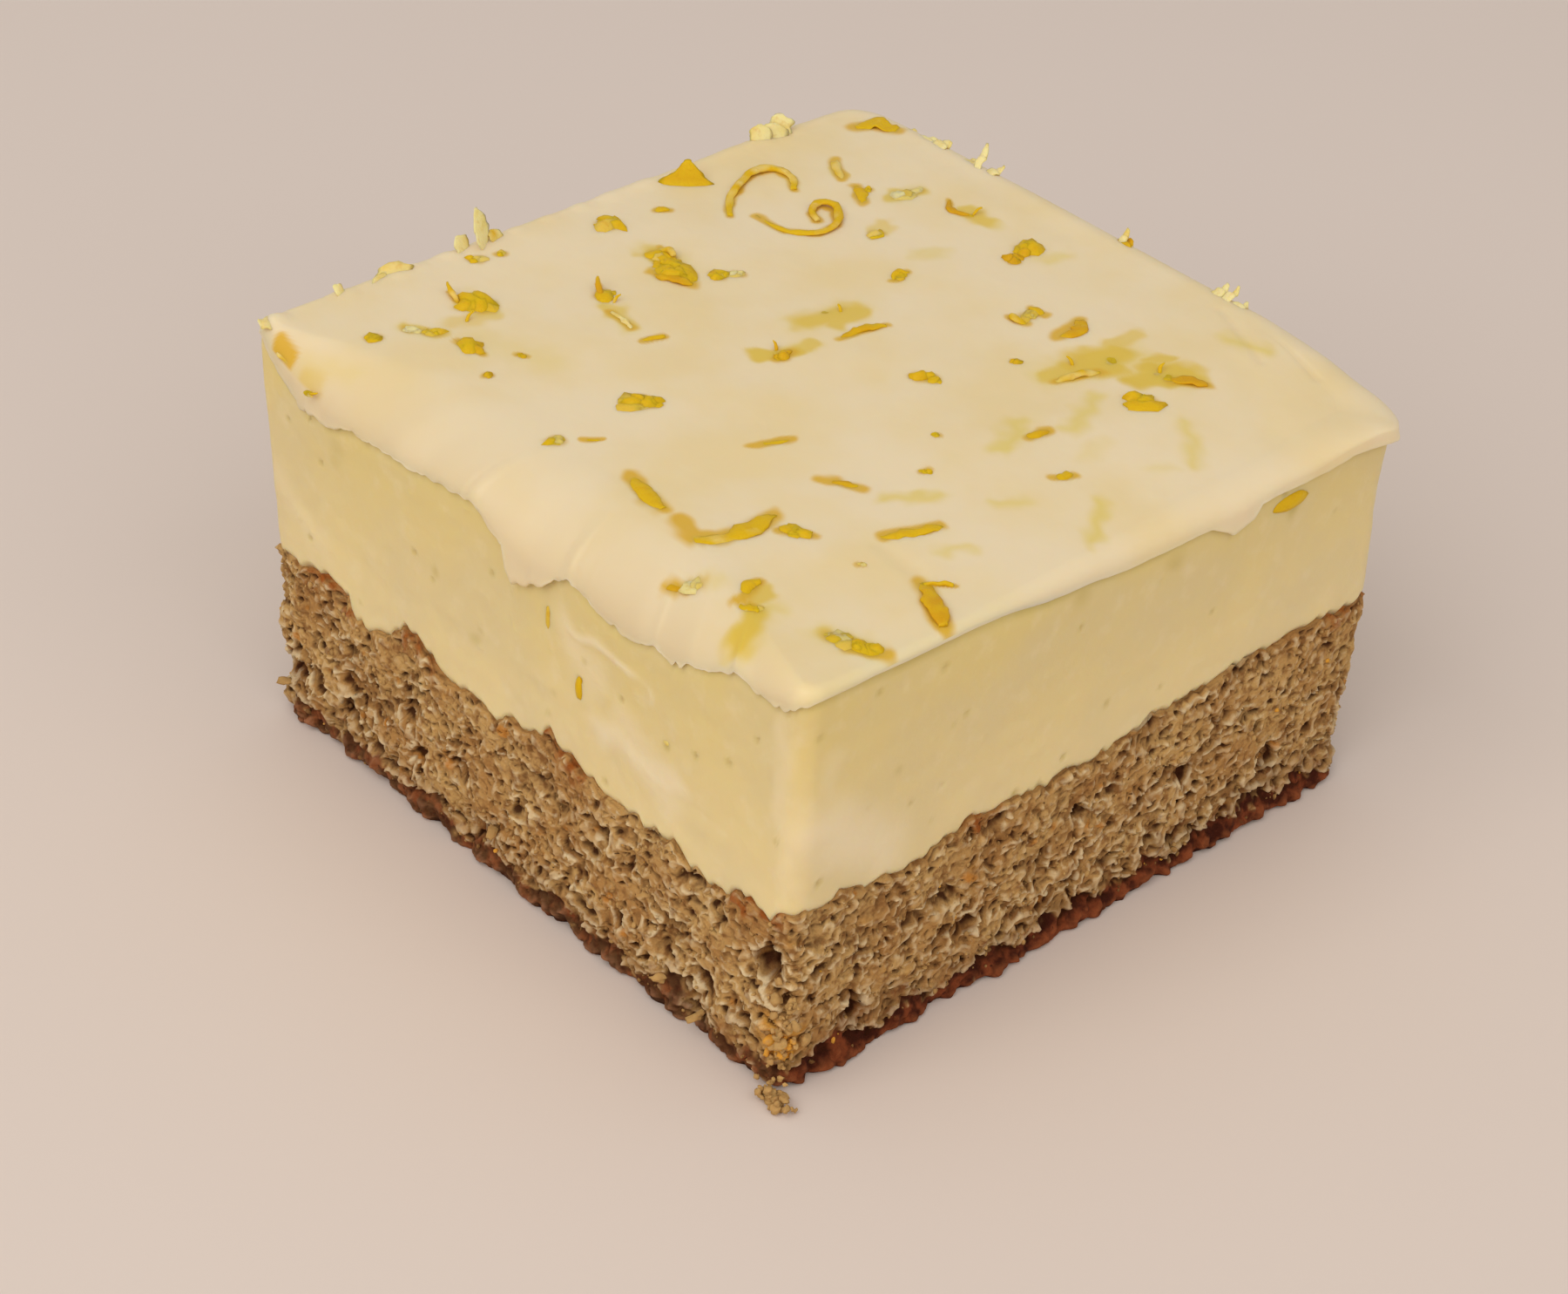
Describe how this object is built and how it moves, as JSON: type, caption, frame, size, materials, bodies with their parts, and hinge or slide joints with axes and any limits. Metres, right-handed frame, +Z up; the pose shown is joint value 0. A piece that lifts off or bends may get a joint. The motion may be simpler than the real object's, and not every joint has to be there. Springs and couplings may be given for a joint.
{
  "type": "lemon carrot cheesecake",
  "caption": "Square layered cake serving: browned sponge, smooth cheesecake filling with cut faces, and a thin cream topping strewn with citrus zest.",
  "frame": {"origin": "under the middle of the cake, on the surface it stands on", "axes": "+Z up, -X towards the ragged cut face, -Y towards the clean cut face"},
  "size_m": [0.0689, 0.0678, 0.0411],
  "materials": {
    "sponge": "open baked crumb with a browned base",
    "filling": "smooth, soft set cheesecake cut with a knife",
    "cream": "satin spread cream with zest"
  },
  "bodies": {
    "root": {"carrot_sponge": "sponge", "cheesecake_filling": "filling", "cream_topping": "cream"}
  },
  "joints": []
}
